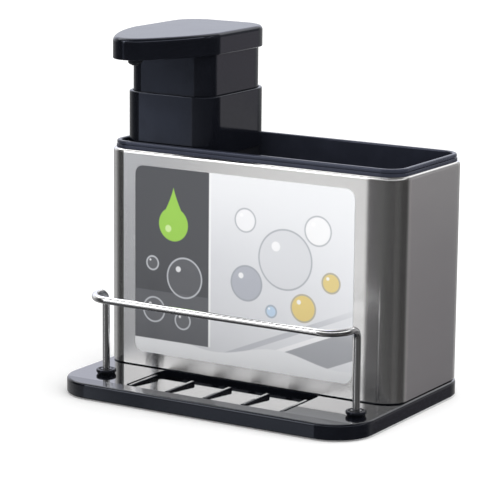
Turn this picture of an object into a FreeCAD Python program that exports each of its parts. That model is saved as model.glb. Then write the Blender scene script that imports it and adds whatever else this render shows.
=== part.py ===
import FreeCAD, Part
import math
import os

# Soap pump caddy, in millimetres. X runs along the width, Y from front to back and Z up.
# The origin is under the middle of the base, on the surface that the rubber feet stand on.

# General clearances and cutting allowance
slide_gap = 0.3            # between pieces that lift or slide past each other
seat_gap = 0.1             # between a lifted piece and the face it stands on
grip_gap = 0.05            # round a piece that is pushed into another
overrun = 4.0              # how far a cutting tool runs past the face it cuts

# Steel sleeve
sleeve_w = 176.6
sleeve_d = 75.1
sleeve_h = 115.55
sleeve_r = 12.0
steel_t = 0.6
roll_r = 1.8               # outer radius of the edge that is rolled in at the top
roll_lip = 0.6             # flat lip past the roll
flange_w = 9.0             # flange turned in at the foot

# Base tray
side_margin = 1.7          # base beyond the sleeve at each side
back_margin = 5.1
shelf_d = 47.8             # shelf in front of the sleeve
base_r = 21.5
base_h = 7.95
base_edge_r = 1.4
base_foot_r = 0.6
plate_t = 2.2
base_wall = 2.0
plinth_h = 0.6
plinth_in = 1.1            # plinth inside the sleeve's outer face

# Sloping recess, its ribs and the gutter behind them
recess_w = 95.6
recess_shift = -2.2        # recess to the left of the middle
recess_front = 9.6         # flat rim along the front edge
recess_step = 0.7
recess_fall = 1.9          # floor depth where the ribs end
recess_r = 3.0
gutter_w = 10.0
gutter_back = 1.4          # land between gutter and sleeve
gutter_depth = 4.4
rib_count = 5
rib_pitch = 22.8
rib_t = 2.1
rib_edge_r = 0.5
rib_lead = 1.6             # rib starts behind the recess edge

# Stiffening under the base
web_t = 1.6
web_h = 3.6
web_pitch = 44.0

# Rubber feet
foot_r = 7.0
foot_h = 2.3
foot_proud = 0.8
foot_pad_wall = 2.0
foot_chamfer = 0.5
foot_in_x = 19.0           # from the base's side edge
foot_in_y = 17.0           # from the base's back edge
front_foot_in_x = 31.5
front_foot_in_y = 12.6

# Screws that hold the sleeve down
screw_r = 1.5
screw_head_r = 2.8
screw_head_h = 1.8
screw_len = 6.4
screw_hole_gap = 0.15
screw_recess_r = 0.9       # cross recess in the head
screw_recess_t = 0.6
screw_recess_h = 0.9
screw_in = 5.2             # hole centre from the sleeve's outer face
screw_spread = 46.0        # hole centre from the middle
boss_wall = 2.0

# Wire rail
wire_r = 1.9
rail_in = 13.2             # posts inside the sleeve's sides
rail_shift = 3.5           # the rail stands this far right of the middle
rail_post_y = 23.4         # posts in front of the sleeve
rail_bar_y = 41.5          # bar in front of the sleeve
rail_h = 44.3              # bar above the base top
rail_corner_r = 12.0
rail_bend_r = 5.5
rail_stub = 6.1            # post below the base top

# Grommets and push nuts of the rail
grommet_r = 5.3
grommet_foot_r = 4.5
grommet_h = 2.6
grommet_edge_r = 0.6
grommet_cup_depth = 0.9    # hollow between the rim and the collar round the post
grommet_cup_r = 4.3
grommet_collar_r = 2.9
grommet_barrel_r = 3.2
grommet_lip_r = 4.2
grommet_lip_h = 1.1
push_nut_r = 5.0
push_nut_t = 0.5
push_nut_dish = 0.7

# Liner with its rim
liner_in = 2.7             # liner's outer face inside the sleeve's outer face, at the top
liner_wall = 1.6
liner_taper = 1.0          # each wall leans in by this much towards the floor
liner_floor = 1.8
liner_lift = 1.0           # air between the screw heads and the liner
liner_edge_r = 3.0
lip_in = 1.5               # lower lip inside the sleeve's outer face
lip_h = 1.5
groove_in = 2.6
groove_h = 0.5
rim_in = 1.8
rim_h = 1.8
rim_edge_r = 0.9
divider_t = 1.6
divider_h = 80.0
divider_edge_r = 0.6
bay_gap = 2.6              # collar to the liner at the left and to the divider at the right

# Bottle
bottle_in = 1.0            # bottle inside the collar's outer face
bottle_wall = 1.4
bottle_floor = 1.8
bottle_edge_r = 3.0
bottle_inner_r = 1.5
bottle_drop = 4.8          # bottle's mouth below the rim's top

# Pump housing, whose upper part is the collar
collar_w = 54.8
collar_gap = 1.1           # collar to the liner at the front and back
collar_front_r = 11.0
collar_back_r = 16.0
collar_rise = 26.2         # collar's top above the rim's top
collar_wall = 1.7
collar_edge_r = 0.7
deck_t = 2.2
plug_h = 11.0
plug_wall = 1.6
gasket_h = 2.2
gasket_depth = 0.8
gasket_drop = 4.0
neck_r = 12.5
neck_wall = 2.2
neck_h = 7.0

# Pump head
stroke = 15.0
reveal = 6.8               # skirt still showing when the head is pressed
skirt_wall = 1.5
skirt_in = 2.1             # skirt inside the collar's outer face
skirt_lap = 3.0            # skirt inside the collar at rest
cap_h = 11.2
cap_wall = 1.8
cap_top_t = 2.0
cap_edge_r = 2.4
cap_foot_r = 0.5
nose_reach = 38.6          # nose beyond the collar's front face
nose_tip_r = 12.0
nose_bend = 9.0            # degrees that the cap's side turns in where the nose starts
nose_bend_r = 8.0

# Spout in the nose
spout_in = 10.8            # nozzle behind the nose's tip
spout_r = 3.6
spout_bore_r = 1.9
spout_drop = 3.0           # nozzle below the cap's lower edge
beak_t = 1.5
beak_up = 0.7
channel_w = 8.0
channel_bore_r = 1.7
channel_roof = 1.2
socket_r = 6.4
socket_len = 9.0
chamber_r = 3.6
chamber_roof = 1.7
tip_wall = 0.6
tip_len = 4.2
tip_proud = 0.5

# Stem, piston and spring
stem_r = 4.4
stem_bore_r = 2.2
stem_gap = 0.3
piston_r = 5.7
piston_h = 5.0
seal_r = 6.35
seal_h = 5.0
seal_lip_h = 1.6
seal_waist_r = 5.6
spring_wire_r = 0.5
spring_mean_r = 4.6
spring_len = 24.0
spring_coils = 6
spring_end_pitch = 1.5

# Pump cylinder with closure, inlet valve and dip tube
barrel_r = 8.0
barrel_bore_r = 6.5
flange_r = 12.2
flange_t = 1.5
washer_t = 0.8
nut_r = 15.4
nut_wall = 2.2
nut_top_t = 1.8
nut_skirt = 6.0
nut_flute_count = 24
nut_flute_r = 0.7
seal_drop = 8.0            # seal's top below the flange at rest
cage_r = 5.0
cage_bore_r = 3.2
cage_len = 6.3
cage_lip = 1.2
ball_r = 2.5
ball_lift = 1.5
seat_bore_r = 1.7
seat_len = 2.0
outlet_ball_r = 2.8
outlet_lift = 1.2
ball_gap = 0.1
tube_r = 3.0
tube_bore_r = 2.2
tube_socket = 9.0
tube_rise = 2.0            # tube's end above the bottle's floor
tube_slant = 1.6

# Printed card on the sleeve's front
card_w = 131.8
card_h = 100.5
card_t = 0.35
card_r = 5.0
card_shift = -2.8
card_rise = 7.5            # card above the sleeve's foot

# Heights that the pieces share
base_top = foot_proud + base_h
sleeve_z0 = base_top + plinth_h
sleeve_top = sleeve_z0 + sleeve_h
rim_z0 = sleeve_top + seat_gap
rim_top = rim_z0 + lip_h + groove_h + rim_h
liner_z0 = sleeve_z0 + steel_t + screw_head_h + liner_lift
liner_floor_top = liner_z0 + liner_floor
bottle_z0 = liner_floor_top + seat_gap
bottle_top = rim_top - bottle_drop
bottle_floor_top = bottle_z0 + bottle_floor
housing_z0 = bottle_top + seat_gap
deck_top = housing_z0 + deck_t
collar_top = rim_top + collar_rise
cap_z0 = collar_top + stroke + reveal
cap_top = cap_z0 + cap_h
ceiling = cap_top - cap_top_t
neck_top = deck_top + neck_h
flange_z0 = neck_top + washer_t
flange_top = flange_z0 + flange_t
seal_top = flange_z0 - seal_drop
piston_z0 = seal_top - seal_h - piston_h
spring_z0 = piston_z0 - spring_len
cage_z0 = spring_z0 - cage_lip - cage_len
tube_top = cage_z0 - seat_len
stem_top = ceiling - chamber_roof - outlet_lift - ball_gap
stem_top -= outlet_ball_r + math.sqrt(outlet_ball_r ** 2 - stem_bore_r ** 2) + ball_gap

# Plan positions that the pieces share
base_w = sleeve_w + 2 * side_margin
base_d = shelf_d + sleeve_d + back_margin
base_front = -base_d / 2
sleeve_front = base_front + shelf_d
sleeve_back = sleeve_front + sleeve_d
sleeve_left = -sleeve_w / 2
opening_in = liner_in + liner_wall
collar_left = sleeve_left + opening_in + bay_gap
collar_right = collar_left + collar_w
collar_front = sleeve_front + opening_in + collar_gap
collar_back = sleeve_back - opening_in - collar_gap
pump_x = (collar_left + collar_right) / 2
pump_y = (collar_front + collar_back) / 2
rail_w = sleeve_w - 2 * rail_in
gutter_y1 = sleeve_front - gutter_back
gutter_y0 = gutter_y1 - gutter_w
recess_y0 = base_front + recess_front
nose_tip = collar_front - nose_reach
spout_y = nose_tip + spout_in


def at(x, y, z):
    return FreeCAD.Vector(x, y, z)


def outline(x0, x1, y0, y1, front_r, back_r, z):
    """Closed wire of a rectangle whose front and back corners are rounded."""
    corners = [
        (x1 - back_r, y1 - back_r, back_r, 0),
        (x0 + back_r, y1 - back_r, back_r, 1),
        (x0 + front_r, y0 + front_r, front_r, 2),
        (x1 - front_r, y0 + front_r, front_r, 3),
    ]
    arcs = []
    for cx, cy, r, quarter in corners:
        spots = []
        for half in (0, 1, 2):
            angle = math.pi / 2 * (quarter + half / 2)
            spots.append(at(cx + r * math.cos(angle), cy + r * math.sin(angle), z))
        arcs.append(spots)
    edges = []
    for index, spots in enumerate(arcs):
        following = arcs[(index + 1) % len(arcs)]
        edges.append(Part.Arc(*spots).toShape())
        edges.append(Part.LineSegment(spots[2], following[0]).toShape())
    return Part.Wire(edges)


def slab(wire, height):
    return Part.Face(wire).extrude(at(0, 0, height))


def sleeve_outline(inset, z):
    """The sleeve's plan, drawn in by inset."""
    r = sleeve_r - inset
    return outline(sleeve_left + inset, -sleeve_left - inset, sleeve_front + inset,
                   sleeve_back - inset, r, r, z)


def collar_outline(inset, z):
    """The collar's plan, drawn in by inset: the bottle, skirt and plug follow it."""
    return outline(collar_left + inset, collar_right - inset, collar_front + inset,
                   collar_back - inset, collar_front_r - inset, collar_back_r - inset, z)


def cap_outline(inset, z):
    """The cap's plan: rounded at the back, straight at the sides, then a bend and a long nose in front."""
    half = collar_w / 2
    start = collar_front + collar_front_r
    tip_y = nose_tip + nose_tip_r
    bend = math.radians(nose_bend)
    bend_x = half - nose_bend_r * (1 - math.cos(bend))
    bend_y = start - nose_bend_r * math.sin(bend)
    reach = bend_y - tip_y
    room = bend_x * math.cos(bend) - reach * math.sin(bend) - nose_tip_r
    flank_r = (bend_x ** 2 + reach ** 2 - nose_tip_r ** 2) / (2 * room)
    flank_x = bend_x - flank_r * math.cos(bend)
    flank_y = bend_y + flank_r * math.sin(bend)
    last = math.atan2(flank_y - tip_y, -flank_x)
    quarter = math.pi / 2

    def arc(side, x, y, r, first, last):
        """Three points of an arc about x from the pump and y; angles count forward from the side."""
        spots = []
        for turn in (first, (first + last) / 2, last):
            across = side * (x + (r - inset) * math.cos(turn))
            spots.append(at(pump_x + across, y - (r - inset) * math.sin(turn), z))
        return spots

    back_x = half - collar_back_r
    back_y = collar_back - collar_back_r
    start_x = half - nose_bend_r
    arcs = [arc(1, 0, tip_y, nose_tip_r, 2 * quarter - last, last)]
    arcs.append(arc(1, flank_x, flank_y, flank_r, last, bend))
    arcs.append(arc(1, start_x, start, nose_bend_r, bend, 0))
    arcs.append(arc(1, back_x, back_y, collar_back_r, 0, -quarter))
    arcs.append(arc(-1, back_x, back_y, collar_back_r, -quarter, 0))
    arcs.append(arc(-1, start_x, start, nose_bend_r, 0, bend))
    arcs.append(arc(-1, flank_x, flank_y, flank_r, bend, last))
    edges = []
    for index, spots in enumerate(arcs):
        following = arcs[(index + 1) % len(arcs)]
        edges.append(Part.Arc(*spots).toShape())
        if spots[2].distanceToPoint(following[0]) > grip_gap:
            edges.append(Part.LineSegment(spots[2], following[0]).toShape())
    return Part.Wire(edges)


def level_edges(shape, z, test=None):
    """Edges that lie at height z, and pass the test on their middle point where one is given."""
    found = []
    for edge in shape.Edges:
        box = edge.BoundBox
        if abs(box.ZMin - z) > grip_gap / 2 or abs(box.ZMax - z) > grip_gap / 2:
            continue
        middle = edge.valueAt((edge.FirstParameter + edge.LastParameter) / 2)
        if test is None or test(middle):
            found.append(edge)
    return found


def cylinder(r, z0, z1, x, y):
    return Part.makeCylinder(r, z1 - z0, at(x, y, z0))


def tube(r, bore, z0, z1, x, y):
    return cylinder(r, z0, z1, x, y).cut(cylinder(bore, z0 - overrun, z1 + overrun, x, y))


def turned(profile, x, y):
    """Solid of revolution about the upright line at x, y from (radius, height) points.
    A point may hold a third entry, the middle of an arc that leads to it."""
    edges = []
    start = profile[0]
    spots = profile[1:] + [profile[0]]
    last = at(x + start[0], y, start[1])
    for spot in spots:
        here = at(x + spot[0], y, spot[1])
        if len(spot) > 2:
            middle = at(x + spot[2][0], y, spot[2][1])
            edges.append(Part.Arc(last, middle, here).toShape())
        else:
            edges.append(Part.LineSegment(last, here).toShape())
        last = here
    face = Part.Face(Part.Wire(edges))
    return face.revolve(at(x, y, 0), at(0, 0, 1), 360)


def box(x0, x1, y0, y1, z0, z1):
    return Part.makeBox(x1 - x0, y1 - y0, z1 - z0, at(x0, y0, z0))


def save(name, shape):
    solids = shape.Solids
    if not shape.isValid() or not solids:
        raise ValueError(name + " is not a valid solid")
    kept = solids[0] if len(solids) == 1 else Part.makeCompound(solids)
    kept.exportStep("parts/" + name + ".step")
    print(name, len(solids), "solids", round(kept.Volume), "mm3")


def screw_spots():
    near = sleeve_front + screw_in
    far = sleeve_back - screw_in
    return [(x, y) for x in (-screw_spread, screw_spread) for y in (near, far)]


def foot_spots():
    rear_x = base_w / 2 - foot_in_x
    rear_y = base_d / 2 - foot_in_y
    front_x = base_w / 2 - front_foot_in_x
    front_y = base_front + front_foot_in_y
    return [(-rear_x, rear_y), (rear_x, rear_y), (-front_x, front_y), (front_x, front_y)]


def post_spots():
    y = sleeve_front - rail_post_y
    return [(rail_shift - rail_w / 2, y), (rail_shift + rail_w / 2, y)]


def recess(grow, drop):
    """The sloping recess with its gutter, made larger by grow and lower by drop."""
    y0 = recess_y0 - grow
    y1 = gutter_y1 + grow
    lip = base_top - recess_step - drop
    fall = base_top - recess_fall - drop
    deep = base_top - gutter_depth - drop
    high = base_top + overrun
    left = recess_shift - recess_w / 2 - grow
    right = recess_shift + recess_w / 2 + grow
    points = [
        at(left, y0, high), at(left, y0, lip), at(left, gutter_y0 - grow, fall),
        at(left, gutter_y0 - grow, deep), at(left, y1, deep), at(left, y1, high),
    ]
    face = Part.Face(Part.makePolygon(points + points[:1]))
    prism = face.extrude(at(right - left, 0, 0))
    limit = outline(left, right, y0, y1, recess_r, recess_r, foot_proud)
    return prism.common(slab(limit, base_h + 2 * overrun))


def base_tray():
    """Moulded tray: edge-rounded plate, recess with ribs and gutter, plinth and hollow underside."""
    half = base_w / 2
    plate = slab(outline(-half, half, base_front, -base_front, base_r, base_r, foot_proud), base_h)
    plate = plate.makeFillet(base_edge_r, level_edges(plate, base_top))
    plate = plate.makeFillet(base_foot_r, level_edges(plate, foot_proud))
    plate = plate.cut(recess(0, 0))
    plate = plate.fuse(slab(sleeve_outline(plinth_in, base_top - plate_t), plate_t + plinth_h))

    hollow_top = base_top - plate_t
    in_half = half - base_wall
    in_r = base_r - base_wall
    low = foot_proud - overrun
    in_y = -base_front - base_wall
    hollow = slab(outline(-in_half, in_half, -in_y, in_y, in_r, in_r, low), hollow_top - low)
    keep = [recess(base_wall, plate_t)]
    for x, y in foot_spots():
        keep.append(cylinder(foot_r + foot_pad_wall, foot_proud, hollow_top + overrun, x, y))
    screw_end = sleeve_z0 + steel_t - screw_len
    above = hollow_top + overrun
    for x, y in screw_spots():
        keep.append(cylinder(screw_r + boss_wall, screw_end - boss_wall / 2, above, x, y))
    web_z0 = hollow_top - web_h
    for share in (-3 / 2, -1 / 2, 1 / 2, 3 / 2):
        x = share * web_pitch
        keep.append(box(x - web_t / 2, x + web_t / 2, gutter_y1, -base_front, web_z0, above))
    middle = (sleeve_front + sleeve_back) / 2
    keep.append(box(-half, half, middle - web_t / 2, middle + web_t / 2, web_z0, above))
    for piece in keep:
        hollow = hollow.cut(piece)
    tray = plate.cut(hollow)

    rib_y0 = recess_y0 + rib_lead
    first = recess_shift - (rib_count - 1) / 2 * rib_pitch
    for index in range(rib_count):
        x = first + index * rib_pitch
        rib_z0 = base_top - recess_fall - plate_t / 2
        rib = box(x - rib_t / 2, x + rib_t / 2, rib_y0, gutter_y0, rib_z0, base_top)
        rib = rib.makeFillet(rib_edge_r, level_edges(rib, base_top))
        tray = tray.fuse(rib)
    for x, y in foot_spots():
        tray = tray.cut(cylinder(foot_r + grip_gap, low, foot_h + grip_gap, x, y))
    for x, y in screw_spots():
        tray = tray.cut(cylinder(screw_r, screw_end, sleeve_z0 + overrun, x, y))
    for x, y in post_spots():
        tray = tray.cut(cylinder(grommet_barrel_r + grip_gap, low, base_top + overrun, x, y))
    return tray.removeSplitter()


def rubber_feet():
    """Four rubber discs pressed into pockets under the base."""
    feet = []
    for x, y in foot_spots():
        disc = cylinder(foot_r, 0, foot_h, x, y)
        feet.append(disc.makeChamfer(foot_chamfer, level_edges(disc, 0)))
    return Part.makeCompound(feet)


def steel_sleeve():
    """Drawn steel sleeve: plain walls, top edge rolled in, foot turned in to a flange."""
    shell = slab(sleeve_outline(0, sleeve_z0), sleeve_h)
    shell = shell.makeFillet(roll_r, level_edges(shell, sleeve_top))
    inner = slab(sleeve_outline(steel_t, sleeve_z0 + steel_t), sleeve_h - 2 * steel_t)
    inner = inner.makeFillet(roll_r - steel_t, level_edges(inner, sleeve_top - steel_t))
    shell = shell.cut(inner)
    shell = shell.cut(slab(sleeve_outline(roll_r + roll_lip, sleeve_top - overrun), 2 * overrun))
    shell = shell.cut(slab(sleeve_outline(flange_w, sleeve_z0 - overrun), 2 * overrun))
    for x, y in screw_spots():
        hole_r = screw_r + screw_hole_gap
        shell = shell.cut(cylinder(hole_r, sleeve_z0 - overrun, sleeve_z0 + overrun, x, y))
    return shell


def sleeve_screws():
    """Four pan-head screws that clamp the sleeve's flange to bosses under the base."""
    seat = sleeve_z0 + steel_t
    screws = []
    for x, y in screw_spots():
        point = seat - screw_len
        shank = turned([(0, point), (screw_r - grip_gap, point + screw_r), (screw_r - grip_gap, seat),
                        (screw_head_r, seat), (screw_head_r, seat + screw_head_h / 2),
                        (screw_head_r / 2, seat + screw_head_h), (0, seat + screw_head_h)], x, y)
        floor = seat + screw_head_h - screw_recess_h
        high = seat + screw_head_h + overrun
        for dx, dy in ((screw_recess_t / 2, screw_recess_r), (screw_recess_r, screw_recess_t / 2)):
            shank = shank.cut(box(x - dx, x + dx, y - dy, y + dy, floor, high))
        screws.append(shank)
    return Part.makeCompound(screws)


def bent_wire(points, radii, r):
    """Round wire along straight runs that are joined by tangent arcs."""
    edges = []
    start = points[0]
    for index, bend in enumerate(radii, 1):
        here = points[index]
        back = (points[index - 1] - here).normalize()
        ahead = (points[index + 1] - here).normalize()
        half_turn = (math.pi - back.getAngle(ahead)) / 2
        leg = bend * math.tan(half_turn)
        enter = here + back * leg
        leave = here + ahead * leg
        inward = (back + ahead).normalize()
        middle = here + inward * (bend / math.cos(half_turn) - bend)
        edges.append(Part.LineSegment(start, enter).toShape())
        edges.append(Part.Arc(enter, middle, leave).toShape())
        start = leave
    edges.append(Part.LineSegment(start, points[-1]).toShape())
    path = Part.Wire(edges)
    ring = Part.Wire(Part.makeCircle(r, points[0], points[1] - points[0]))
    rod = path.makePipeShell([ring], True, False)
    section = math.pi * r ** 2
    print("wire length", round(path.Length, 1), "volume share", round(rod.Volume / path.Length / section, 4))
    return rod


def wire_rail():
    """Chromed wire: two posts, two short legs and a front bar, bent from one length."""
    (left, y), (right, _) = post_spots()
    front = sleeve_front - rail_bar_y
    bar_z = base_top + rail_h
    foot = base_top - rail_stub
    points = [at(left, y, foot), at(left, y, bar_z), at(left, front, bar_z),
              at(right, front, bar_z), at(right, y, bar_z), at(right, y, foot)]
    return bent_wire(points, [rail_bend_r, rail_corner_r, rail_corner_r, rail_bend_r], wire_r)


def rail_grommets():
    """Two low cup-shaped grommets that hold the rail's posts in the base plate."""
    bore = wire_r + grip_gap
    under = base_top - plate_t
    top = base_top + grommet_h
    cup_floor = top - grommet_cup_depth
    round_off = grommet_edge_r * (1 - math.sqrt(1 / 2))
    edge_mid = (grommet_r - round_off, top - round_off)
    profile = [
        (bore, under - grommet_lip_h), (grommet_barrel_r, under - grommet_lip_h),
        (grommet_lip_r, under), (grommet_barrel_r, under), (grommet_barrel_r, base_top),
        (grommet_foot_r, base_top), (grommet_r, base_top + grommet_h / 2),
        (grommet_r, top - grommet_edge_r), (grommet_r - grommet_edge_r, top, edge_mid),
        (grommet_cup_r, top), (grommet_collar_r, cup_floor), (grommet_collar_r, top), (bore, top),
    ]
    return Part.makeCompound([turned(profile, x, y) for x, y in post_spots()])


def rail_push_nuts():
    """Two dished steel push nuts that grip the posts under the base plate."""
    bore = wire_r + grip_gap / 2
    top = base_top - plate_t - grommet_lip_h - grip_gap
    profile = [(bore, top - push_nut_t - push_nut_dish), (push_nut_r, top - push_nut_t),
               (push_nut_r, top), (bore, top - push_nut_dish)]
    return Part.makeCompound([turned(profile, x, y) for x, y in post_spots()])


def liner_body(inset, z0, z1):
    """Tapered block of the liner's plan, inset from its outer face."""
    low = sleeve_outline(liner_in + liner_taper + inset, z0)
    high = sleeve_outline(liner_in + inset, z1)
    return Part.makeLoft([low, high], True, True)


def inner_liner():
    """Moulded bin: tapered walls, two-step rim, rounded foot and a divider beside the bottle's bay."""
    body = liner_body(0, liner_z0, rim_z0)
    body = body.makeFillet(liner_edge_r, level_edges(body, liner_z0))
    lip = slab(sleeve_outline(lip_in, rim_z0), lip_h)
    lip = lip.makeFillet(groove_h / 2, level_edges(lip, rim_z0 + lip_h))
    groove = slab(sleeve_outline(groove_in, rim_z0 + lip_h - groove_h), 2 * groove_h)
    rim = slab(sleeve_outline(rim_in, rim_top - rim_h), rim_h)
    rim = rim.makeFillet(rim_edge_r, level_edges(rim, rim_top))
    rim = rim.makeFillet(groove_h / 2, level_edges(rim, rim_top - rim_h))
    bin_block = body.fuse([lip, groove, rim])
    inside = liner_body(liner_wall, liner_floor_top, rim_z0)
    inside = inside.makeFillet(liner_edge_r - liner_wall, level_edges(inside, liner_floor_top))
    mouth = slab(sleeve_outline(opening_in, rim_z0 - grip_gap), rim_top - rim_z0 + grip_gap)
    liner = bin_block.cut(inside).cut(mouth)
    reach_x = sleeve_w / 2 - opening_in + grip_gap
    reach_y = sleeve_d / 2 - opening_in + grip_gap
    middle = (sleeve_front + sleeve_back) / 2
    liner = liner.makeFillet(rim_edge_r, level_edges(
        liner, rim_top, lambda spot: abs(spot.x) < reach_x and abs(spot.y - middle) < reach_y))
    x = collar_right + bay_gap
    wall = box(x, x + divider_t, sleeve_front + liner_in + liner_taper, sleeve_back - liner_in - liner_taper,
               liner_z0 + liner_floor / 2, liner_floor_top + divider_h)
    rims = level_edges(wall, liner_floor_top + divider_h)
    wall = wall.makeFillet(divider_edge_r, [edge for edge in rims if edge.Length > 2 * divider_t])
    return liner.fuse(wall).removeSplitter()


def soap_bottle():
    """Blown bottle with a wide square mouth, rounded at the foot."""
    body = slab(collar_outline(bottle_in, bottle_z0), bottle_top - bottle_z0)
    body = body.makeFillet(bottle_edge_r, level_edges(body, bottle_z0))
    inside = slab(collar_outline(bottle_in + bottle_wall, bottle_floor_top), bottle_top - bottle_z0)
    inside = inside.makeFillet(bottle_inner_r, level_edges(inside, bottle_floor_top))
    return body.cut(inside)


def pump_housing():
    """Collar over the bottle's mouth: outer wall, deck, plug skirt and the neck that carries the pump."""
    block = slab(collar_outline(0, housing_z0), collar_top - housing_z0)
    block = block.makeFillet(collar_edge_r, level_edges(block, collar_top))
    well = slab(collar_outline(collar_wall, deck_top), collar_top - deck_top + overrun)
    block = block.cut(well)
    plug_in = bottle_in + bottle_wall + slide_gap
    plug = slab(collar_outline(plug_in, housing_z0 - plug_h), plug_h + deck_t / 2)
    hollow = slab(collar_outline(plug_in + plug_wall, housing_z0 - plug_h - overrun), plug_h + overrun)
    plug = plug.cut(hollow)
    groove_z = housing_z0 - gasket_drop - gasket_h
    groove = slab(collar_outline(plug_in - slide_gap, groove_z), gasket_h)
    core = slab(collar_outline(plug_in + gasket_depth, groove_z - overrun), gasket_h + 2 * overrun)
    block = block.fuse(plug.cut(groove.cut(core)))
    block = block.fuse(cylinder(neck_r, deck_top - deck_t / 2, neck_top, pump_x, pump_y))
    bore_r = neck_r - neck_wall
    return block.cut(cylinder(bore_r, housing_z0 - overrun, neck_top + overrun, pump_x, pump_y))


def mouth_gasket():
    """Silicone ring in the plug's groove that seals the bottle's mouth."""
    plug_in = bottle_in + bottle_wall + slide_gap
    z0 = housing_z0 - gasket_drop - gasket_h + grip_gap
    height = gasket_h - 2 * grip_gap
    ring = slab(collar_outline(plug_in - slide_gap / 2, z0), height)
    core = slab(collar_outline(plug_in + gasket_depth, z0 - overrun), height + 2 * overrun)
    return ring.cut(core)


def pump_cylinder():
    """Pump barrel: clamped flange, bore, spring shoulder, ball cage with its seat, and tube socket."""
    shoulder = spring_z0
    step = barrel_r - barrel_bore_r
    outer = [(0, tube_top - tube_socket), (tube_r + step, tube_top - tube_socket), (tube_r + step, cage_z0),
             (cage_r, cage_z0 + step), (cage_r, shoulder - 2 * step), (barrel_r, shoulder),
             (barrel_r, flange_z0), (flange_r, flange_z0), (flange_r, flange_top), (0, flange_top)]
    body = turned(outer, pump_x, pump_y)
    body = body.cut(cylinder(barrel_bore_r, shoulder, flange_top + overrun, pump_x, pump_y))
    cage_top = shoulder - cage_lip
    seat_slope = cage_bore_r - seat_bore_r
    way = [(0, tube_top - overrun), (seat_bore_r, tube_top - overrun), (seat_bore_r, cage_z0),
           (cage_bore_r, cage_z0 + seat_slope), (cage_bore_r, cage_top),
           (ball_r - ball_gap, cage_top), (ball_r - ball_gap, shoulder + overrun), (0, shoulder + overrun)]
    body = body.cut(turned(way, pump_x, pump_y))
    return body.cut(cylinder(tube_r + grip_gap, tube_top - tube_socket - overrun, tube_top, pump_x, pump_y))


def cylinder_washer():
    """Flat washer between the neck and the pump barrel's flange."""
    return tube(flange_r, barrel_r + grip_gap, neck_top, flange_z0, pump_x, pump_y)


def closure_nut():
    """Fluted nut that screws onto the neck and clamps the pump barrel."""
    top = flange_top + nut_top_t
    skirt_z0 = flange_top - nut_skirt - flange_t
    nut = cylinder(nut_r, skirt_z0, top, pump_x, pump_y)
    nut = nut.makeChamfer(nut_flute_r, level_edges(nut, top))
    bore_r = nut_r - nut_wall
    nut = nut.cut(cylinder(bore_r, skirt_z0 - overrun, flange_top, pump_x, pump_y))
    nut = nut.cut(cylinder(stem_r + stem_gap, flange_top - overrun, top + overrun, pump_x, pump_y))
    rise = top - skirt_z0 + 2 * overrun
    for index in range(nut_flute_count):
        angle = 2 * math.pi * index / nut_flute_count
        x = pump_x + nut_r * math.cos(angle)
        y = pump_y + nut_r * math.sin(angle)
        nut = nut.cut(Part.makeCylinder(nut_flute_r, rise, at(x, y, skirt_z0 - overrun)))
    return nut


def dip_tube():
    """Straight tube from the pump barrel to the bottle's floor, cut at a slant at its end."""
    end = bottle_floor_top + tube_rise
    pipe = tube(tube_r, tube_bore_r, end, tube_top, pump_x, pump_y)
    left = pump_x - tube_r
    right = pump_x + tube_r
    near = pump_y - 2 * tube_r
    corners = [at(left, near, end), at(right + tube_r, near, end - overrun),
               at(right, near, end + 2 * tube_slant)]
    wedge = Part.Face(Part.makePolygon(corners + corners[:1])).extrude(at(0, 4 * tube_r, 0))
    return pipe.cut(wedge)


def inlet_ball():
    """Ball of the inlet valve, on its cone in the barrel's cage."""
    height = cage_z0 - seat_bore_r + (ball_r + ball_gap) * math.sqrt(2)
    headroom = spring_z0 - cage_lip - height - ball_r
    print("inlet ball: room above it", round(headroom, 2), "mm for its lift of", ball_lift, "mm")
    return Part.makeSphere(ball_r, at(pump_x, pump_y, height))


def pump_stem():
    """Hollow stem from the piston up into the spout's socket."""
    return tube(stem_r, stem_bore_r, piston_z0 + piston_h / 3, stem_top, pump_x, pump_y)


def piston():
    """Piston cup pressed on the stem's end: the spring pushes on its lower face."""
    bottom = piston_z0
    cup = cylinder(piston_r, bottom, bottom + piston_h, pump_x, pump_y)
    high = bottom + piston_h + overrun
    cup = cup.cut(cylinder(stem_r + grip_gap, bottom + piston_h / 3, high, pump_x, pump_y))
    return cup.cut(cylinder(stem_bore_r, bottom - overrun, high, pump_x, pump_y))


def piston_seal():
    """Two-lipped seal above the piston that wipes the barrel's bore."""
    bottom = seal_top - seal_h
    bore = stem_r + grip_gap
    profile = [(bore, bottom), (seal_r, bottom), (seal_waist_r, bottom + seal_lip_h),
               (seal_waist_r, seal_top - seal_lip_h), (seal_r, seal_top), (bore, seal_top)]
    return turned(profile, pump_x, pump_y)


def spring_point(turn):
    """Point and direction of the spring's wire after so many turns: close turns at both ends."""
    rise = spring_len - 2 * spring_wire_r
    open_turns = spring_coils
    end_turns = 1
    total = open_turns + 2 * end_turns
    open_pitch = (rise - 2 * end_turns * spring_end_pitch) / open_turns
    if turn <= end_turns:
        height = turn * spring_end_pitch
        pitch = spring_end_pitch
    elif turn >= total - end_turns:
        height = rise - (total - turn) * spring_end_pitch
        pitch = spring_end_pitch
    else:
        height = end_turns * spring_end_pitch + (turn - end_turns) * open_pitch
        pitch = open_pitch
    angle = 2 * math.pi * turn
    spot = at(pump_x + spring_mean_r * math.cos(angle), pump_y + spring_mean_r * math.sin(angle),
              spring_z0 + spring_wire_r + height)
    way = at(-math.sin(angle), math.cos(angle), pitch / (2 * math.pi * spring_mean_r)).normalize()
    return spot, way, total


def tangent_arc(start, corner, end):
    """Arc from start to end whose end tangents meet at corner."""
    middle = (start + end) / 2
    drop = corner - middle
    half = (end - start).Length / 2
    leg = (corner - start).Length
    r = half * leg / drop.Length
    sag = r - math.sqrt(r ** 2 - half ** 2)
    return Part.Arc(start, middle + drop.normalize() * sag, end).toShape()


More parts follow.
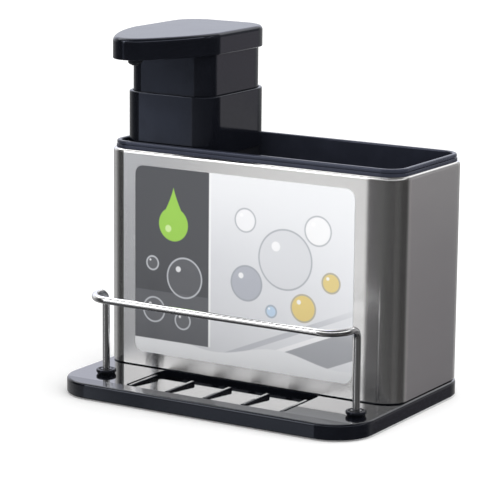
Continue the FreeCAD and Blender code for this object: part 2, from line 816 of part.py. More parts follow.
def return_spring():
    """Compression spring under the piston, one unbroken wire on pairs of tangent arcs."""
    total = spring_point(0)[2]
    steps = total * 4
    edges = []
    for index in range(steps):
        start, way0, _ = spring_point(index / 4)
        end, way1, _ = spring_point((index + 1) / 4)
        gap = end - start
        ways = way0 + way1
        a = 2 * (1 - way0.dot(way1))
        b = 2 * gap.dot(ways)
        c = -gap.dot(gap)
        reach = (-b + math.sqrt(b ** 2 - 4 * a * c)) / (2 * a)
        first = start + way0 * reach
        second = end - way1 * reach
        joint = (first + second) / 2
        edges.append(tangent_arc(start, first, joint))
        edges.append(tangent_arc(joint, second, end))
    path = Part.Wire(edges)
    spot, way, _ = spring_point(0)
    ring = Part.Wire(Part.makeCircle(spring_wire_r, spot, way))
    coil = path.makePipeShell([ring], True, False)
    samples = 24
    spots = [spring_point(k / samples)[0] for k in range(total * samples + 1)]
    pairs = [(k, m) for k in range(len(spots)) for m in range(k + samples // 2, len(spots))]
    least = min((spots[k] - spots[m]).Length for k, m in pairs)
    section = math.pi * spring_wire_r ** 2
    print("spring: least gap to itself", round(least - 2 * spring_wire_r, 2), "mm")
    print("spring: volume share", round(coil.Volume / path.Length / section, 4))
    return coil


def head_cap():
    """Moulded cap with its long nose: rounded top and bottom edges, hollow below."""
    cap = slab(cap_outline(0, cap_z0), cap_h)
    cap = cap.makeFillet(cap_edge_r, level_edges(cap, cap_top))
    cap = cap.makeFillet(cap_foot_r, level_edges(cap, cap_z0))
    return cap.cut(slab(cap_outline(cap_wall, cap_z0 - overrun), ceiling - cap_z0 + overrun))


def head_skirt():
    """Square skirt under the cap that slides inside the collar, slotted for the spout channel."""
    z0 = collar_top - skirt_lap
    skirt = slab(collar_outline(skirt_in, z0), ceiling - z0)
    skirt = skirt.cut(slab(collar_outline(skirt_in + skirt_wall, z0 - overrun), ceiling - z0 + 2 * overrun))
    half = channel_w / 2 + grip_gap
    high = ceiling + overrun
    slot = box(pump_x - half, pump_x + half, collar_front - overrun, pump_y, cap_z0 + beak_up, high)
    return skirt.cut(slot)


def spout_channel():
    """Insert under the cap: stem socket, ball chamber, channel, nozzle and the floor of the nose."""
    floor_z = cap_z0 + beak_up
    beak = slab(cap_outline(cap_wall + grip_gap, floor_z), beak_t)
    cut_y = collar_front + skirt_in - grip_gap
    beak = beak.common(box(collar_left, collar_right, nose_tip, cut_y, floor_z, ceiling))
    half = channel_w / 2
    bar = box(pump_x - half, pump_x + half, spout_y - half, pump_y, floor_z, ceiling)
    socket = cylinder(socket_r, cap_z0 - socket_len, ceiling, pump_x, pump_y)
    nozzle = cylinder(spout_r, cap_z0 - spout_drop, floor_z + beak_t, pump_x, spout_y)
    nozzle = nozzle.makeChamfer((spout_r - spout_bore_r) / 2, level_edges(nozzle, cap_z0 - spout_drop))
    body = beak.fuse([bar, socket, nozzle])
    mouth = cap_z0 - socket_len - overrun
    body = body.cut(cylinder(stem_r + grip_gap, mouth, stem_top, pump_x, pump_y))
    body = body.cut(cylinder(chamber_r, stem_top, ceiling - chamber_roof, pump_x, pump_y))
    bore_z = ceiling - channel_roof - channel_bore_r
    bore = Part.makeCylinder(channel_bore_r, pump_y - spout_y, at(pump_x, spout_y, bore_z), at(0, 1, 0))
    body = body.cut(bore)
    return body.cut(cylinder(spout_bore_r, cap_z0 - spout_drop - overrun, bore_z, pump_x, spout_y))


def nozzle_tip():
    """Soft insert pushed into the nozzle's mouth."""
    mouth = cap_z0 - spout_drop
    r = spout_bore_r - grip_gap
    return tube(r, r - tip_wall, mouth - tip_proud, mouth + tip_len, pump_x, spout_y)


def outlet_ball():
    """Ball of the outlet valve, on the stem's upper end."""
    height = stem_top + ball_gap + math.sqrt(outlet_ball_r ** 2 - stem_bore_r ** 2)
    return Part.makeSphere(outlet_ball_r, at(pump_x, pump_y, height))


def label_card():
    """Thin printed card on the flat of the sleeve's front."""
    half = card_w / 2
    z0 = sleeve_z0 + card_rise
    flat = outline(card_shift - half, card_shift + half, 0, card_h, card_r, card_r, 0)
    sheet = Part.Face(flat).extrude(at(0, 0, card_t))
    sheet.rotate(at(0, 0, 0), at(1, 0, 0), 90)
    sheet.translate(at(0, sleeve_front, z0))
    return sheet


os.makedirs("parts", exist_ok=True)
pieces = [
    base_tray, rubber_feet, steel_sleeve, sleeve_screws, wire_rail, rail_grommets, rail_push_nuts,
    label_card, inner_liner, soap_bottle, pump_housing, mouth_gasket, pump_cylinder, cylinder_washer,
    closure_nut, dip_tube, inlet_ball, pump_stem, piston, piston_seal, return_spring, head_cap,
    head_skirt, spout_channel, nozzle_tip, outlet_ball,
]
for piece in pieces:
    save(piece.__name__, piece())
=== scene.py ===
import math

import bmesh
import bpy
from mathutils import Matrix, Vector


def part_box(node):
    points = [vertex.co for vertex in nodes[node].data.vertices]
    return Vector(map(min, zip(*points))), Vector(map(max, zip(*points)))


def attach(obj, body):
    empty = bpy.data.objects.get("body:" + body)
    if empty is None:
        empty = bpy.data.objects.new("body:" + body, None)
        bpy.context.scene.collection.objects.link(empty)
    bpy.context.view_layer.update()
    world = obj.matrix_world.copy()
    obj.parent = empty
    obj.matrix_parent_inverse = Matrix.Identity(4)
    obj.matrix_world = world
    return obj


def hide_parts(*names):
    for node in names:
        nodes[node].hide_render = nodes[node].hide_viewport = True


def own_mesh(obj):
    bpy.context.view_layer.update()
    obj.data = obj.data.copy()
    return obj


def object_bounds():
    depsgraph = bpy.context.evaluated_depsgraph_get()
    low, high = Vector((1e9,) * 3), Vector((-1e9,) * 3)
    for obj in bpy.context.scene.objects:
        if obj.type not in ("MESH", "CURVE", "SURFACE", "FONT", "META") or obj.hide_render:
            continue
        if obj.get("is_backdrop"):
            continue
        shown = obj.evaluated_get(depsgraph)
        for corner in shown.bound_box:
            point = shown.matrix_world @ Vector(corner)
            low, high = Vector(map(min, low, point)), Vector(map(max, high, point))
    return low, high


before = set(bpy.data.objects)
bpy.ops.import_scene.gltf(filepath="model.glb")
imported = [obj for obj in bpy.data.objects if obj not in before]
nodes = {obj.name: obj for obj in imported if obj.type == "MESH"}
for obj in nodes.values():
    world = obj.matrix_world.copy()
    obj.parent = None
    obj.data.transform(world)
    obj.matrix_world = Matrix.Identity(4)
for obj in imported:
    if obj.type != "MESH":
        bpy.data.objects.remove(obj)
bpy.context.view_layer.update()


# The studio: a pale seamless floor under an even dome of light, which fills the shadows. What the
# polished pieces mirror is a ring of tall panels round the table, and it is drawn by direction.
scene = bpy.context.scene
scene.view_settings.view_transform = "Standard"
floor_half = 4.0
floor_albedo = 0.93
floor_glow = 0.14
floor_mesh = bpy.data.meshes.new("studio_floor")
floor_shape = bmesh.new()
bmesh.ops.create_grid(floor_shape, x_segments=1, y_segments=1, size=floor_half)
floor_shape.to_mesh(floor_mesh)
floor_shape.free()
floor = bpy.data.objects.new("studio_floor", floor_mesh)
scene.collection.objects.link(floor)
floor.visible_glossy = False
floor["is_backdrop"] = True
floor_paint = bpy.data.materials.new("studio_floor")
floor_paint.use_nodes = True
floor_shader = floor_paint.node_tree.nodes["Principled BSDF"]
floor_shader.inputs["Base Color"].default_value = (floor_albedo, floor_albedo, floor_albedo, 1)
floor_shader.inputs["Roughness"].default_value = 1.0
floor_shader.inputs["Specular IOR Level"].default_value = 0.0
floor_shader.inputs["Emission Color"].default_value = (1, 1, 1, 1)
floor_shader.inputs["Emission Strength"].default_value = floor_glow
floor_mesh.materials.append(floor_paint)


class Shade:
    """A shader socket with Python's operators, so that a pattern is written as a sum."""

    def __init__(self, tree, socket):
        self.tree = tree
        self.socket = socket

    def make(self, kind, settings, inputs, out=0):
        """Adds a node, sets it, feeds its sockets and gives one of its outputs."""
        node = self.tree.nodes.new(kind)
        for key, value in settings.items():
            if key == "stops":
                ramp = node.color_ramp
                while len(ramp.elements) > 1:
                    ramp.elements.remove(ramp.elements[-1])
                ramp.elements[0].position = value[0][0]
                ramp.elements[0].color = (*value[0][1], 1)
                for position, colour in value[1:]:
                    ramp.elements.new(position).color = (*colour, 1)
            else:
                setattr(node, key, value)
        for key, value in inputs.items():
            if isinstance(value, Shade):
                self.tree.links.new(value.socket, node.inputs[key])
            else:
                node.inputs[key].default_value = value
        return Shade(self.tree, node.outputs[out])

    def maths(self, operation, *others):
        return self.make("ShaderNodeMath", {"operation": operation}, dict(enumerate((self, *others))))

    def __add__(self, other):
        return self.maths("ADD", other)

    def __radd__(self, other):
        return self.maths("ADD", other)

    def __sub__(self, other):
        return self.maths("SUBTRACT", other)

    def __rsub__(self, other):
        return self.maths("MULTIPLY", -1.0).maths("ADD", other)

    def __mul__(self, other):
        return self.maths("MULTIPLY", other)

    def __rmul__(self, other):
        return self.maths("MULTIPLY", other)

    def __truediv__(self, other):
        return self.maths("DIVIDE", other)

    def within(self, low, high):
        """0 below low, 1 above high and smooth between them."""
        return self.make("ShaderNodeMapRange", {"interpolation_type": "SMOOTHSTEP"},
                         {"Value": self, "From Min": low, "From Max": high})

    def between(self, low, high, edge):
        """1 from low to high, fading to 0 over edge beyond them."""
        return self.within(low - edge, low) * (1 - self.within(high, high + edge))

    def axes(self):
        """The three parts of a vector."""
        return [self.make("ShaderNodeSeparateXYZ", {}, {"Vector": self}, part) for part in range(3)]

    def stretched(self, x, y, z):
        """A vector with each part multiplied."""
        return self.make("ShaderNodeVectorMath", {"operation": "MULTIPLY"}, {0: self, 1: (x, y, z)})

    def noise(self, scale, detail=2.0, roughness=0.5):
        """Noise on a vector, about 0.5 in the middle."""
        return self.make("ShaderNodeTexNoise", {},
                         {"Vector": self, "Scale": scale, "Detail": detail, "Roughness": roughness})

    def mixed(self, first, second):
        """Colour first where this mask is 0 and second where it is 1."""
        ends = {}
        for key, colour in ((6, first), (7, second)):
            ends[key] = colour if isinstance(colour, Shade) else (*colour, 1)
        return self.make("ShaderNodeMix", {"data_type": "RGBA"}, {0: self, **ends}, 2)

    def bump(self, height=1.0):
        """A normal from this relief: height is how many metres a relief of 1 stands up."""
        return self.make("ShaderNodeBump", {}, {"Distance": height, "Height": self})


def grey(value):
    return (value, value, value)


# The mirrored panels stand by compass bearing, from -180 to 180 degrees, where 0 is +X and 90 is +Y,
# the back, and by height, from -1 straight down to 1 straight up. The camera looks down a little, so
# an upright face mirrors what lies below the horizon, and deeper the lower it is on the caddy.
def compass(degrees):
    """A bearing as a share of the full turn."""
    return (degrees + 180) / 360


def after(low, high):
    """0 up to the bearing low and 1 from high on."""
    return bearing.within(compass(low), compass(high))


def sector(low, high, edge):
    """1 between two bearings, fading to 0 over edge degrees beyond them."""
    return bearing.between(compass(low), compass(high), edge / 360)


def ring(table):
    """The glow all round, from a table of bearings and colours."""
    return bearing.make("ShaderNodeValToRGB", {
        "stops": [(compass(degrees), colour) for degrees, colour in table]}, {"Fac": bearing})


world = bpy.data.worlds.new("studio")
scene.world = world
world.use_nodes = True
sky_tree = world.node_tree
sky_tree.nodes.clear()
way = Shade(sky_tree, sky_tree.nodes.new("ShaderNodeTexCoord").outputs["Generated"])
way_x, way_y, way_z = way.axes()
bearing = way_y.maths("ARCTAN2", way_x) / (2 * math.pi) + 0.5

# The low ring is for the sleeve: a narrow white panel fills its flat front, and dark ones draw its
# corners. The panel's left end is cut by a dark one, which shades the strip beside the card.
low_ring = ring([
    (-180, grey(0.30)), (-172, grey(0.21)), (-163, grey(0.11)), (-157, grey(0.065)), (-150, grey(0.04)),
    (-141, grey(0.03)), (-136, grey(0.05)), (-131, grey(0.12)), (-128, grey(0.16)), (-126.2, grey(0.93)),
    (-117.3, grey(1.0)), (-115.9, (0.095, 0.09, 0.097)), (-91, grey(0.098)), (-61, grey(0.058)),
    (-31, grey(0.042)), (-21, (0.085, 0.081, 0.08)), (-8, grey(0.075)), (9, (0.032, 0.03, 0.029)),
    (33, (0.04, 0.038, 0.038)), (43, grey(0.16)), (52, (0.235, 0.23, 0.23)), (57, (0.145, 0.14, 0.145)),
    (62.3, (0.112, 0.107, 0.115)), (66, (0.125, 0.12, 0.129)), (90, grey(0.25)), (108, grey(0.38)),
    (150, grey(0.38)),
])
low_ring = sector(-128.5, -123.5, 0.324).mixed(low_ring, grey(0.09))
panel_foot_share = 0.7
low_glow = way_z.within(-0.5, -0.24).mixed(low_ring.stretched(*grey(panel_foot_share)), low_ring)

# The tray's front wall mirrors a slanting band of its own, whose edge falls away to the right.
band_top = -0.2555
band_turn = -125.5
band_fall = 0.0027
band_depth = 0.0095
band_rim = 0.0005
band_edge = 0.0025
wall_front = after(-125.7, -124.0).mixed((1.22, 1.27, 1.35), (0.51, 0.53, 0.56))
wall_front = after(-118.8, -117).mixed(wall_front, grey(0.25))
wall_front = after(-134, -127).mixed(grey(0.5), wall_front)
fallen = (bearing - compass(band_turn)).maths("MAXIMUM", 0.0) * (band_fall * 360)
band = (way_z - band_top + fallen).between(-band_depth, -band_rim, band_edge)
low_glow = band.mixed(low_glow, wall_front)

# The collar and the pump's head mirror darker rings above that, each with a pale panel for its front.
collar_ring = ring([
    (-180, grey(0.33)), (-157, grey(0.10)), (-138, grey(0.04)), (-122.5, grey(0.25)), (-120.6, grey(0.8)),
    (-117, grey(0.8)), (-115, grey(0.28)), (-81, grey(0.22)), (-44, grey(0.13)), (-5, grey(0.07)),
    (17, grey(0.02)), (50, grey(0.04)), (56.5, (0.55, 0.53, 0.52)), (60, (0.54, 0.52, 0.51)),
    (62, grey(0.2)), (90, grey(0.25)), (108, grey(0.38)), (150, grey(0.38)),
])
collar_front = after(-123.7, -123.4).mixed((1.08, 1.14, 1.25), (0.75, 0.81, 0.96))
collar_ring = sector(-126.3, -122.72, 0.216).mixed(collar_ring, collar_front)
head_ring = ring([
    (-180, grey(0.2)), (-157, grey(0.06)), (-138, grey(0.03)), (-60, grey(0.01)), (36, grey(0.015)),
    (44, grey(0.2)), (57, (0.50, 0.46, 0.48)), (60, (0.50, 0.46, 0.48)), (63, grey(0.4)),
    (90, grey(0.45)), (108, grey(0.5)), (150, grey(0.38)),
])
head_front = after(-123.75, -123.0).mixed((0.60, 0.63, 0.70), (0.10, 0.11, 0.10))
head_ring = sector(-126.3, -122.75, 0.216).mixed(head_ring, head_front)
mirrored_glow = way_z.within(-0.172, -0.166).mixed(low_glow, collar_ring)
mirrored_glow = way_z.within(-0.142, -0.138).mixed(mirrored_glow, head_ring)

# Above the horizon the white panel goes on, brighter: the tray's top shows it by way of the sleeve's
# front. Behind the caddy stands a bluish wall, which the cap's top and the tray's left end mirror.
upper_gain = 2.0
upper_ring = ring([
    (-180, grey(0.30)), (-163, grey(0.09)), (-150, grey(0.02)), (-128, grey(0.03)), (-126.2, grey(0.70)),
    (-117.3, grey(0.76)), (-115.9, grey(0.06)), (-61, grey(0.03)), (33, grey(0.03)), (50, grey(0.12)),
    (62, grey(0.10)), (70, grey(0.2)), (108, grey(0.38)), (150, grey(0.38)),
]).stretched(*grey(upper_gain))
mirrored_glow = way_z.within(-0.05, 0.03).mixed(mirrored_glow, upper_ring)
back_glow = way_z.within(0.08, 0.27).mixed((0.80, 0.83, 0.93), (1.05, 1.07, 1.21))
behind = after(90, 97.2) * (1 - after(154.8, 165.6)) * way_z.within(0.0, 0.04)
mirrored_glow = behind.mixed(mirrored_glow, back_glow)

# The lamps draw thin lights on the rounded edges: the foot light on the lower edges at the right, the
# right lamp on the upper ones there, the softbox, the top light and the key light on those at the
# front and on the rail's bar.
foot_light = sector(82, 120, 3.6) * way_z.between(-0.62, -0.33, 0.04)
right_lamp = sector(72, 93.6, 10.8) * way_z.between(0.45, 0.7, 0.1)
left_half = 1 - after(-174, -160) + after(122.4, 136.8)
softbox = left_half * way_z.between(0.6, 0.86, 0.08)
top_light = sector(-140.4, 36, 7.2) * way_z.between(0.44, 0.58, 0.03)
key_light = sector(-131.4, -122.4, 3.6) * way_z.between(0.44, 0.6, 0.03)
for lamp, glow in ((foot_light, 2.2), (right_lamp, 1.2), (softbox, 2.2), (top_light, 1.7), (key_light, 5.0)):
    mirrored_glow = lamp.mixed(mirrored_glow, grey(glow))

# Matt light comes from the dome, which is brighter on the right. The camera itself sees plain white.
dome_glow = 1.15
dome_lean = 0.7
backdrop_glow = 1.02
white = (1.0, 1.0, 1.0, 1)
mirrored = way.make("ShaderNodeBackground", {}, {"Color": mirrored_glow, "Strength": 1.0})
dome = way.make("ShaderNodeBackground", {}, {"Color": white, "Strength": dome_glow + way_x * dome_lean})
backdrop = way.make("ShaderNodeBackground", {}, {"Color": white, "Strength": backdrop_glow})
ray = sky_tree.nodes.new("ShaderNodeLightPath")
sky = way.make("ShaderNodeMixShader", {},
               {0: Shade(sky_tree, ray.outputs["Is Glossy Ray"]), 1: dome, 2: mirrored})
sky = way.make("ShaderNodeMixShader", {},
               {0: Shade(sky_tree, ray.outputs["Is Camera Ray"]), 1: sky, 2: backdrop})
sky_out = sky_tree.nodes.new("ShaderNodeOutputWorld")
sky_tree.links.new(sky.socket, sky_out.inputs["Surface"])


# The camera: a long lens to the right of the front and a little above the rim. Its place is the
# bearing and height at which the printed outer sizes agree with the photograph's outlines.
azimuth = math.radians(31.18)
elevation = math.radians(11.65)
roll = math.radians(0.57)
distance = 1.25323
lens_mm = 173.87
sensor_mm = 36.0
near_clip = 0.05
far_clip = 50.0
sight_height = 0.0948
sight_right = -0.00679
sight_up = -0.01711
back = Vector((math.sin(azimuth) * math.cos(elevation), -math.cos(azimuth) * math.cos(elevation),
               math.sin(elevation)))
level = Vector((math.cos(azimuth), math.sin(azimuth), 0))
upright = back.cross(level)
right = level * math.cos(roll) + upright * math.sin(roll)
up = upright * math.cos(roll) - level * math.sin(roll)
camera_data = bpy.data.cameras.new("photograph_view")
camera_data.lens = lens_mm
camera_data.sensor_width = sensor_mm
camera_data.clip_start = near_clip
camera_data.clip_end = far_clip
camera = bpy.data.objects.new("photograph_view", camera_data)
scene.collection.objects.link(camera)
turn = Matrix((right, up, back)).transposed().to_4x4()
camera.matrix_world = Matrix.Translation(
    Vector((0, 0, sight_height)) + back * distance + right * sight_right + up * sight_up) @ turn
scene.camera = camera


def new_material(name):
    """A material, its shader and its Object coordinates."""
    material = bpy.data.materials.new(name)
    material.use_nodes = True
    tree = material.node_tree
    place = Shade(tree, tree.nodes.new("ShaderNodeTexCoord").outputs["Object"])
    return material, tree.nodes["Principled BSDF"], place


def set_shader(shader, sockets):
    """Feeds a shader's sockets with numbers, colours or patterns."""
    for key, value in sockets.items():
        if isinstance(value, Shade):
            value.tree.links.new(value.socket, shader.inputs[key])
        elif isinstance(value, tuple):
            shader.inputs[key].default_value = (*value, 1)
        else:
            shader.inputs[key].default_value = value


def dress(name, material):
    """Gives a node this material alone."""
    slots = nodes[name].data.materials
    slots.clear()
    slots.append(material)


def moulded(name, colour, roughness, swell, tint, lines=(60, 900, 60), extra=None):
    """Moulded plastic: swell is the height in metres of its cooling waves, and lines is how close its
    hairlines lie along each axis."""
    material, shader, place = new_material(name)
    waves = place.noise(scale=38.0, detail=1.0)
    hairlines = place.stretched(*lines).noise(scale=9.0, detail=3.0).within(0.62, 0.8)
    smudges = place.noise(scale=55.0, detail=3.0).within(0.42, 0.75)
    dust = place.noise(scale=2600.0, detail=1.0).within(0.72, 0.8)
    smudge_lift = 1.25
    smudge_dulls, hairline_dulls, dust_dulls = 0.05, 0.04, 0.1
    plastic_ior = 1.52
    relief = waves * swell
    if extra:
        relief = relief + extra(place)
    set_shader(shader, {
        "Base Color": smudges.mixed(colour, tuple(part * smudge_lift for part in colour)),
        "Roughness": roughness + smudges * smudge_dulls + hairlines * hairline_dulls + dust * dust_dulls,
        "Normal": relief.bump(),
        "IOR": plastic_ior,
        "Specular Tint": tint,
    })
    dress(name, material)
    return shader


tray_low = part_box("base_tray")[0]
land_w = 0.0096
land_slope = 0.15


def front_land(place):
    """Falls away in front of the recess's edge."""
    ahead = tray_low.y + land_w - place.axes()[1]
    return ahead.maths("MAXIMUM", 0.0) * -land_slope


tray_shader = moulded("base_tray", colour=(0.0042, 0.0047, 0.0068), roughness=0.075, swell=0.00005,
                      tint=(0.26, 0.31, 0.44), extra=front_land)
set_shader(tray_shader, {"Coat Weight": 1.0, "Coat IOR": 1.3, "Coat Roughness": 0.04})


# The feet: four discs of soft black rubber, pressed into pockets under the tray. They are matt and
# finely pored, and keep the caddy from sliding.
def rubber(name, dark, light, roughness):
    """Soft rubber with fine pores."""
    material, shader, place = new_material(name)
    pores = place.noise(scale=2200.0)
    pore_dulls = 0.2
    pore_depth = 0.00004
    set_shader(shader, {
        "Base Color": pores.mixed(dark, light),
        "Roughness": roughness + pores * pore_dulls,
        "Normal": pores.bump(pore_depth),
    })
    dress(name, material)


rubber("rubber_feet", dark=(0.012, 0.012, 0.012), light=(0.03, 0.03, 0.031), roughness=0.62)


# The sleeve: drawn stainless sheet, ground in fine level lines and polished over, with its top edge
# rolled in. The ends of the sheet meet in a welded and dressed seam in the middle of the back. The
# front's right end is crowned, so that it turns away from the white panel before the corner.
steel, steel_shader, steel_place = new_material("steel_sleeve")
sleeve_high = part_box("steel_sleeve")[1]
corner_r = 0.012
crown_start = 0.0077
crown_w = 0.007
crown_slope = 0.105
seam_half = 0.0004
seam_near = 0.001
seam_far = 0.002
grind_depth = 0.000006
steel_roughness = 0.145
grain_dulls, cloud_dulls, weld_dulls = 0.025, 0.02, 0.15
flat_end = sleeve_high.x - corner_r
steel_x, steel_y = steel_place.axes()[:2]
past = (steel_x - (flat_end - crown_start)).maths("MAXIMUM", 0.0)
near = past.maths("MINIMUM", crown_w)
crown = (near * near / (2 * crown_w) + past - near) * crown_slope
grain = steel_place.stretched(18, 18, 1900).noise(scale=1.0, detail=3.0, roughness=0.6)
long_grain = steel_place.stretched(6, 6, 600).noise(scale=1.0)
clouds = steel_place.noise(scale=16.0)
seam = 1 - steel_x.maths("ABSOLUTE").within(seam_half * 0.5, seam_half)
seam = seam * steel_y.within(sleeve_high.y - seam_far, sleeve_high.y - seam_near)
relief = (grain * 0.25 + long_grain * 0.25 - seam) * grind_depth
set_shader(steel_shader, {
    "Base Color": (grain * 0.6 + long_grain * 0.4).mixed((0.84, 0.83, 0.825), (0.95, 0.945, 0.94)),
    "Metallic": 1.0,
    "Roughness": steel_roughness + grain * grain_dulls + clouds * cloud_dulls + seam * weld_dulls,
    "Normal": (relief - crown).bump(),
    "Anisotropic": 1.0,
    "Anisotropic Rotation": 0.25,
})
dress("steel_sleeve", steel)


# The sleeve's four screws: zinc-plated steel, a little cloudy. They go down through the sleeve's
# inturned foot into the tray's bosses.
def plated(name, dark, light, roughness):
    """Plated or drawn steel with a cloudy bloom."""
    material, shader, place = new_material(name)
    bloom = place.noise(scale=700.0, detail=3.0)
    bloom_dulls = 0.2
    set_shader(shader, {
        "Base Color": bloom.mixed(dark, light),
        "Metallic": 1.0,
        "Roughness": roughness + bloom * bloom_dulls,
    })
    dress(name, material)


plated("sleeve_screws", dark=(0.50, 0.51, 0.53), light=(0.68, 0.68, 0.68), roughness=0.26)


# The rail: one length of steel wire, bent cold and chromed. Its two posts pass through the tray, and
# the lapping before the chrome leaves the polish very slightly uneven.
chrome, chrome_shader, chrome_place = new_material("wire_rail")
lap = chrome_place.noise(scale=900.0)
chrome_roughness = 0.13
lap_dulls = 0.05
set_shader(chrome_shader, {
    "Base Color": lap.mixed((0.91, 0.91, 0.92), (0.95, 0.95, 0.96)),
    "Metallic": 1.0,
    "Roughness": chrome_roughness + lap * lap_dulls,
})
dress("wire_rail", chrome)


# The rail's push nuts: stamped spring steel, oiled and darker than the screws. They are pushed up the
# posts under the tray and bite there.
plated("rail_push_nuts", dark=(0.30, 0.30, 0.31), light=(0.46, 0.46, 0.46), roughness=0.34)


# The grommets round the rail's posts: low cups of shiny black rubber. They are pressed into the
# tray's holes and seal them round the wire.
moulded("rail_grommets", colour=(0.006, 0.0065, 0.008), roughness=0.16, swell=0.00002,
        tint=(0.7, 0.75, 1.0))


# The card: thin coated board on the sleeve's front. Its print is a plain design of panels, soap
# bubbles, a drop and a wave, in greys with green and a little yellow.
card_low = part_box("label_card")[0]
card, card_shader, card_place = new_material("label_card")
card_x, _, card_z = card_place.axes()
mm = 0.001
across = (card_x - card_low.x) / mm
height = (card_z - card_low.z) / mm
ink_edge = 0.35
panel_w = 46.0
panel_foot = 8.0
line_w = 0.8


def step(value, limit):
    """Printed edge: 0 before the limit and 1 after it."""
    return value.within(limit - ink_edge, limit + ink_edge)


def disc(x, y, r):
    """Mask of a printed disc."""
    away = ((across - x) * (across - x) + (height - y) * (height - y)).maths("SQRT")
    return 1 - step(away, r)


def circle(x, y, r):
    """Mask of a printed ring."""
    return disc(x, y, r) * (1 - disc(x, y, r - line_w))


def bar(x0, x1, y0, y1):
    """Mask of a printed bar."""
    return step(across, x0) * (1 - step(across, x1)) * (step(height, y0) * (1 - step(height, y1)))


def drop(x, y, r):
    """Mask of a drop: a disc with a point above it that is 2.2 radii over its middle."""
    tip = r * 2.2
    tip_fade = r * 2.1
    curve = 1.3
    rise = ((height - y) / tip).maths("MAXIMUM", 0.0).maths("MINIMUM", 1.0)
    half = (1 - rise).maths("POWER", curve) * r
    point = 1 - step((across - x).maths("ABSOLUTE") - half, 0.0)
    point = point * height.within(y, y + ink_edge) * (1 - height.within(y + tip_fade, y + tip))
    return disc(x, y, r).maths("MAXIMUM", point)


def bubble(ink, x, y, r, body, line, glint, glint_share):
    """Prints a disc, its outline and a glint at its upper left, each a colour and how much it covers."""
    glint_left, glint_up = 0.35, 0.4
    for mask, (tint, cover) in (
        (disc(x, y, r), body),
        (circle(x, y, r), line),
        (disc(x - r * glint_left, y + r * glint_up, r * glint_share), glint),
    ):
        ink = (mask * cover).mixed(ink, tint)
    return ink


slate = (0.085, 0.088, 0.098)
slate_low = (0.13, 0.135, 0.148)
slate_light = (0.16, 0.165, 0.18)
slate_line = (0.62, 0.64, 0.68)
slate_glint = (0.9, 0.9, 0.92)
cloud_grey = (0.40, 0.41, 0.44)
pale_line = (0.36, 0.38, 0.42)
pale_glint = (0.95, 0.95, 0.96)
green = (0.33, 0.62, 0.08)
green_glint = (0.70, 0.88, 0.42)

# The print's ground: greys that pale upwards, slanting stripes at the foot and a wave along it.
ground_w = 131.0
ground_h = 100.0
ink = (across / ground_w).mixed((0.62, 0.63, 0.66), (0.80, 0.81, 0.84))
ink = (height / ground_h).within(0.45, 1.1).mixed(ink, (0.86, 0.87, 0.89))
stripe_slope = 0.42
slant = height - across * stripe_slope
stripe_fade = 1 - height.within(20, 44)
for low, high, tint in (
    (-43, -27, cloud_grey), (-27, -24.5, (0.90, 0.90, 0.92)), (-20, -17, (0.55, 0.56, 0.6)),
):
    stripe = step(slant, low) * (1 - step(slant, high))
    ink = (stripe * stripe_fade).mixed(ink, tint)
wave_run = 12.0
wave_start = 0.6
wave_height = 3.0
wave_middle = 9.0
wave_line = (across / wave_run + wave_start).maths("SINE") * wave_height + wave_middle
ink = (1 - step(height - wave_line, 0.0)).mixed(ink, (0.84, 0.85, 0.87))

# Its bubbles, in millimetres from the card's lower left corner: x, y, radius and colour.
for x, y, r, tint in (
    (92, 60, 16, (0.70, 0.71, 0.74)), (111, 77, 8, (0.93, 0.93, 0.94)), (68, 78, 6.5, (0.9, 0.9, 0.92)),
    (119, 51, 5.5, (0.78, 0.6, 0.16)), (69, 45, 9.5, (0.42, 0.44, 0.5)), (103, 36, 7.5, (0.80, 0.60, 0.14)),
    (84, 32, 3.5, (0.5, 0.66, 0.84)),
):
    ink = bubble(ink, x, y, r, (tint, 0.85), (pale_line, 0.8), (pale_glint, 0.9), glint_share=0.16)

# The dark panel at its left, with a lower field, bubbles and a drop.
panel = (1 - step(across, panel_w)) * step(height, panel_foot)
ink = panel.mixed(ink, slate)
ink = (panel * (1 - height.within(34, 34 + ink_edge))).mixed(ink, slate_low)
for x, y, r in ((12, 24, 7), (30, 20, 5), (31, 43, 11), (11, 49, 4)):
    ink = bubble(ink, x, y, r, (slate_light, 0.55), (slate_line, 0.8), (slate_glint, 0.8), glint_share=0.14)
drop_glint = disc(20.8, 68.5, 1.9) * 0.75
ink = drop(24, 71, 9.0).mixed(ink, green)
ink = drop_glint.mixed(ink, green_glint)
rule_w = 1.2
rule_top = 101
ink = bar(panel_w, panel_w + rule_w, panel_foot, rule_top).mixed(ink, (0.88, 0.89, 0.9))
tooth = card_place.noise(scale=1800.0)
card_roughness = 0.36
tooth_dulls = 0.1
tooth_depth = 0.00001
set_shader(card_shader, {
    "Base Color": ink,
    "Roughness": card_roughness + tooth * tooth_dulls,
    "Normal": tooth.bump(tooth_depth),
    "Coat Weight": 0.35,
    "Coat Roughness": 0.12,
})
dress("label_card", card)


# The liner: a deep black moulding that hangs in the sleeve by its polished two-step rim. Hairlines
# run down its walls, where brushes are pulled out.
moulded("inner_liner", colour=(0.026, 0.029, 0.042), roughness=0.11, swell=0.00005,
        tint=(0.7, 0.76, 1.0), lines=(900, 900, 40))


# The soap bottle: blown black plastic with a satin skin and a wide square mouth. It stands in the
# liner's left bay and lifts out for filling.
moulded("soap_bottle", colour=(0.007, 0.0075, 0.009), roughness=0.30, swell=0.0001,
        tint=(0.8, 0.85, 1.0), lines=(300, 300, 300))


# The pump's housing: the square collar with its deck and neck, in the polished black of the tray.
# It plugs into the bottle's mouth.
moulded("pump_housing", colour=(0.0045, 0.005, 0.0072), roughness=0.085, swell=0.00004,
        tint=(0.74, 0.8, 1.0))


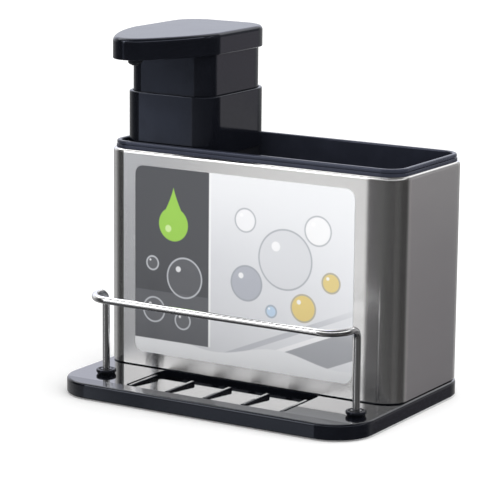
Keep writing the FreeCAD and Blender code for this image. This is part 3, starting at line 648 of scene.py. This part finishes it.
# The gasket: a moulded silicone ring, clouded white. It lies in the groove of the housing's plug and
# seals the bottle's mouth.
def milky(name, colour, roughness):
    """Uncoloured moulded plastic or silicone, a little translucent."""
    material, shader, place = new_material(name)
    flow = place.noise(scale=90.0)
    flow_shade = 0.94
    flow_dulls = 0.1
    flow_depth = 0.00004
    set_shader(shader, {
        "Base Color": flow.mixed(colour, tuple(part * flow_shade for part in colour)),
        "Roughness": roughness + flow * flow_dulls,
        "Subsurface Weight": 0.25,
        "Normal": flow.bump(flow_depth),
    })
    shader.inputs["Subsurface Radius"].default_value = (0.004, 0.004, 0.0035)
    dress(name, material)


milky("mouth_gasket", colour=(0.72, 0.74, 0.75), roughness=0.42)


# The pump's barrel with its flange, valve cage and tube socket: uncoloured plastic, slightly waxy. It
# hangs in the housing's neck by its flange.
milky("pump_cylinder", colour=(0.80, 0.81, 0.79), roughness=0.26)


# The washer under the barrel's flange: punched from sheet silicone, a little greyer than the gasket.
# The nut presses the flange on it.
milky("cylinder_washer", colour=(0.66, 0.68, 0.69), roughness=0.5)


# The closure nut: black plastic with a satin skin, fluted for a grip with wet fingers. It clamps the
# barrel's flange on the neck.
moulded("closure_nut", colour=(0.008, 0.0085, 0.010), roughness=0.32, swell=0.00003,
        tint=(0.8, 0.85, 1.0), lines=(500, 500, 500))


# The dip tube: extruded plastic, clearer than the barrel. It is pushed into the barrel's socket and
# cut at a slant above the bottle's floor.
milky("dip_tube", colour=(0.84, 0.85, 0.84), roughness=0.2)


# The return spring: drawn stainless wire, coiled and set between the barrel's shoulder and the
# piston; it shortens with each press. A copy, hung on the pump unit, stands for the node, which is hidden.
plated("return_spring", dark=(0.56, 0.56, 0.57), light=(0.70, 0.70, 0.70), roughness=0.2)
spring = bpy.data.objects.new("spring_that_shortens", nodes["return_spring"].data.copy())
scene.collection.objects.link(spring)
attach(spring, "pump_unit")
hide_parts("return_spring")
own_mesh(spring)


# The hollow stem and the piston on its lower end: uncoloured plastic, turned smooth where they
# slide. The stem carries the soap up to the spout.
milky("pump_stem", colour=(0.80, 0.81, 0.80), roughness=0.24)
milky("piston", colour=(0.78, 0.80, 0.78), roughness=0.28)


# The piston's seal: soft silicone with two lips, slightly blue. It is stretched into the piston's
# groove and wipes the barrel's bore.
milky("piston_seal", colour=(0.70, 0.74, 0.78), roughness=0.4)


# The two valve balls: polished clear glass, each loose on its seat. One shuts the barrel's inlet and
# the other the top of the stem.
def clear_glass(name):
    """Clear glass with a trace of handling."""
    material, shader, place = new_material(name)
    handling = place.noise(scale=300.0, detail=1.0)
    glass_roughness = 0.03
    handling_dulls = 0.02
    set_shader(shader, {
        "Base Color": (0.9, 0.95, 0.94),
        "Roughness": glass_roughness + handling * handling_dulls,
        "Transmission Weight": 1.0,
    })
    dress(name, material)


clear_glass("inlet_ball")
clear_glass("outlet_ball")


# The head's skirt: a square sleeve of polished black, with the upright hairlines of sliding. It runs
# in the collar and hides the stem.
moulded("head_skirt", colour=(0.0045, 0.005, 0.0072), roughness=0.095, swell=0.00003,
        tint=(0.74, 0.8, 1.0), lines=(900, 900, 30))


# The cap with its long nose: polished black like the collar, most handled and so the most smudged.
# It closes the skirt and is what the hand presses.
moulded("head_cap", colour=(0.0045, 0.005, 0.0072), roughness=0.09, swell=0.00004,
        tint=(0.74, 0.8, 1.0))


# The spout's channel: the satin black insert that closes the cap from below. It leads the soap from
# the stem to the nozzle.
moulded("spout_channel", colour=(0.008, 0.0085, 0.010), roughness=0.28, swell=0.00003,
        tint=(0.8, 0.85, 1.0), lines=(400, 400, 400))


# The nozzle's tip: a soft black rubber ring, pushed into the spout. It gives the soap a clean edge to
# break off.
rubber("nozzle_tip", dark=(0.010, 0.010, 0.010), light=(0.024, 0.024, 0.025), roughness=0.5)


low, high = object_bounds()
